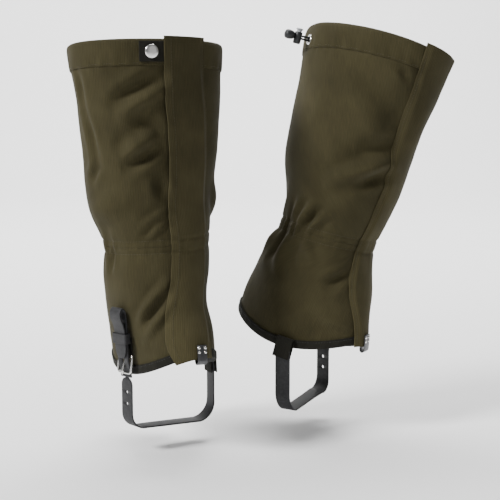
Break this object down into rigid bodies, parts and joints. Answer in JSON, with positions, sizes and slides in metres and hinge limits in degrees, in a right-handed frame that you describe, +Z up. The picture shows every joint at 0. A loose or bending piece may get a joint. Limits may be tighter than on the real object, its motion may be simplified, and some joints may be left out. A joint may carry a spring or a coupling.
{
  "type": "gaiters",
  "caption": "Pair of knee-high trekking gaiters: leg tubes with front flap, drawcord top, gathered ankle, bound hem, lace hook and buckled instep strap.",
  "frame": {"origin": "centre of the right gaiter's bottom opening", "axes": "+Z up the leg, +X towards the wearer's other leg as the pair stands, +Y to the back"},
  "size_m": [0.461, 0.2428, 0.4838],
  "materials": {
    "canvas": "woven canvas, matt",
    "flap_canvas": "woven canvas, matt",
    "lining": "plain weave, matt",
    "webbing": "ribbed webbing",
    "elastic": "knitted elastic",
    "tape": "hook-and-loop tape",
    "cord": "braided cord",
    "rubber": "satin, moulded",
    "plastic": "satin, moulded",
    "plunger": "satin, moulded",
    "steel": "nickel plated",
    "dark_steel": "black nickel plated"
  },
  "bodies": {
    "right_shell": {"right_upper_outer_panel": "canvas", "right_upper_inner_panel": "canvas", "right_lower_panel": "canvas", "right_top_hem": "canvas", "right_ankle_elastic": "elastic", "right_hem_binding": "webbing", "right_underlap": "lining", "right_loop_tape": "tape", "right_snap_stud": "steel", "right_drawcord": "cord", "right_eyelet": "steel", "right_cord_end": "plastic", "right_buckle_tab": "webbing", "right_buckle_frame": "steel", "right_strap_tail": "rubber", "right_strap_anchor": "webbing"},
    "right_flap": {"right_flap": "flap_canvas", "right_hook_tape": "tape", "right_lace_hook": "dark_steel", "right_hook_rivets": "steel"},
    "right_snap_tab": {"right_snap_tab": "webbing", "right_snap_cap": "steel", "right_snap_socket": "steel"},
    "right_cord_lock": {"right_cord_lock_barrel": "plastic", "right_cord_lock_spring": "steel"},
    "right_lock_plunger": {"right_cord_lock_plunger": "plunger"},
    "right_prong": {"right_buckle_prong": "steel"},
    "right_keeper": {"right_keeper": "rubber"},
    "right_instep_strap": {"right_instep_strap": "rubber"},
    "left_shell": {"left_upper_outer_panel": "canvas", "left_upper_inner_panel": "canvas", "left_lower_panel": "canvas", "left_top_hem": "canvas", "left_ankle_elastic": "elastic", "left_hem_binding": "webbing", "left_underlap": "lining", "left_loop_tape": "tape", "left_snap_stud": "steel", "left_drawcord": "cord", "left_eyelet": "steel", "left_cord_end": "plastic", "left_buckle_tab": "webbing", "left_buckle_frame": "steel", "left_strap_tail": "rubber", "left_strap_anchor": "webbing"},
    "left_flap": {"left_flap": "flap_canvas", "left_hook_tape": "tape", "left_lace_hook": "dark_steel", "left_hook_rivets": "steel"},
    "left_snap_tab": {"left_snap_tab": "webbing", "left_snap_cap": "steel", "left_snap_socket": "steel"},
    "left_cord_lock": {"left_cord_lock_barrel": "plastic", "left_cord_lock_spring": "steel"},
    "left_lock_plunger": {"left_cord_lock_plunger": "plunger"},
    "left_prong": {"left_buckle_prong": "steel"},
    "left_keeper": {"left_keeper": "rubber"},
    "left_instep_strap": {"left_instep_strap": "rubber"}
  },
  "joints": [
    {"name": "left_gaiter_place", "type": "slide", "parent": "right_shell", "child": "left_shell", "axis": [1, 0, 0], "range_m": [0, 0.25]},
    {"name": "right_flap_hinge", "type": "hinge", "parent": "right_shell", "child": "right_flap", "pos_m": [0.0557, -0.04341, 0.18996], "axis": [-0.022, 0.1143, 0.9932], "range_deg": [0, 110], "deforming": ["right_flap", "right_hook_tape"]},
    {"name": "right_snap_tab_hinge", "type": "hinge", "parent": "right_flap", "child": "right_snap_tab", "pos_m": [0.01164, -0.05704, 0.35809], "axis": [-0.0228, 0.0154, 0.9996], "range_deg": [0, 60], "deforming": ["right_snap_tab"]},
    {"name": "right_lock_slide", "type": "slide", "parent": "right_shell", "child": "right_cord_lock", "axis": [-0.2515, 0.9678, -0.012], "range_m": [-0.003, 0.001]},
    {"name": "right_plunger_press", "type": "slide", "parent": "right_cord_lock", "child": "right_lock_plunger", "axis": [0.0476, 0, -0.9989], "range_m": [0, 0.002], "stiffness_N_per_m": 400, "springref_m": -0.0005, "deforming": ["right_cord_lock_spring"]},
    {"name": "right_prong_hinge", "type": "hinge", "parent": "right_shell", "child": "right_prong", "pos_m": [-0.04038, -0.04512, 0.00474], "axis": [-0.6762, 0.736, -0.0323], "range_deg": [0, 25]},
    {"name": "right_keeper_slide", "type": "slide", "parent": "right_shell", "child": "right_keeper", "axis": [-0.0476, 0, 0.9989], "range_m": [-0.002, 0.005]},
    {"name": "right_strap_swing", "type": "hinge", "parent": "right_shell", "child": "right_instep_strap", "pos_m": [-0.0394, -0.0458, -0.03125], "axis": [0.8344, 0.5438, 0.0893], "range_deg": [-18, 18]},
    {"name": "left_flap_hinge", "type": "hinge", "parent": "left_shell", "child": "left_flap", "pos_m": [0.27267, 0.01259, 0.18516], "axis": [-0.2172, 0.0388, -0.9754], "range_deg": [0, 110], "deforming": ["left_flap", "left_hook_tape"]},
    {"name": "left_snap_tab_hinge", "type": "hinge", "parent": "left_flap", "child": "left_snap_tab", "pos_m": [0.34359, 0.04184, 0.33261], "axis": [-0.3437, 0.1561, -0.926], "range_deg": [0, 60], "deforming": ["left_snap_tab"]},
    {"name": "left_lock_slide", "type": "slide", "parent": "left_shell", "child": "left_cord_lock", "axis": [-0.9148, -0.3287, 0.2347], "range_m": [-0.003, 0.001]},
    {"name": "left_plunger_press", "type": "slide", "parent": "left_cord_lock", "child": "left_lock_plunger", "axis": [-0.2485, 0, -0.9686], "range_m": [0, 0.002], "stiffness_N_per_m": 400, "springref_m": -0.0005, "deforming": ["left_cord_lock_spring"]},
    {"name": "left_prong_hinge", "type": "hinge", "parent": "left_shell", "child": "left_prong", "pos_m": [0.20981, 0.12185, 0.0085], "axis": [0.701, -0.6901, -0.1799], "range_deg": [0, 25]},
    {"name": "left_keeper_slide", "type": "slide", "parent": "left_shell", "child": "left_keeper", "axis": [0.2485, 0, 0.9686], "range_m": [-0.002, 0.005]},
    {"name": "left_strap_swing", "type": "hinge", "parent": "left_shell", "child": "left_instep_strap", "pos_m": [0.20153, 0.12258, -0.02654], "axis": [-0.4901, -0.8528, 0.1804], "range_deg": [-18, 18]}
  ]
}
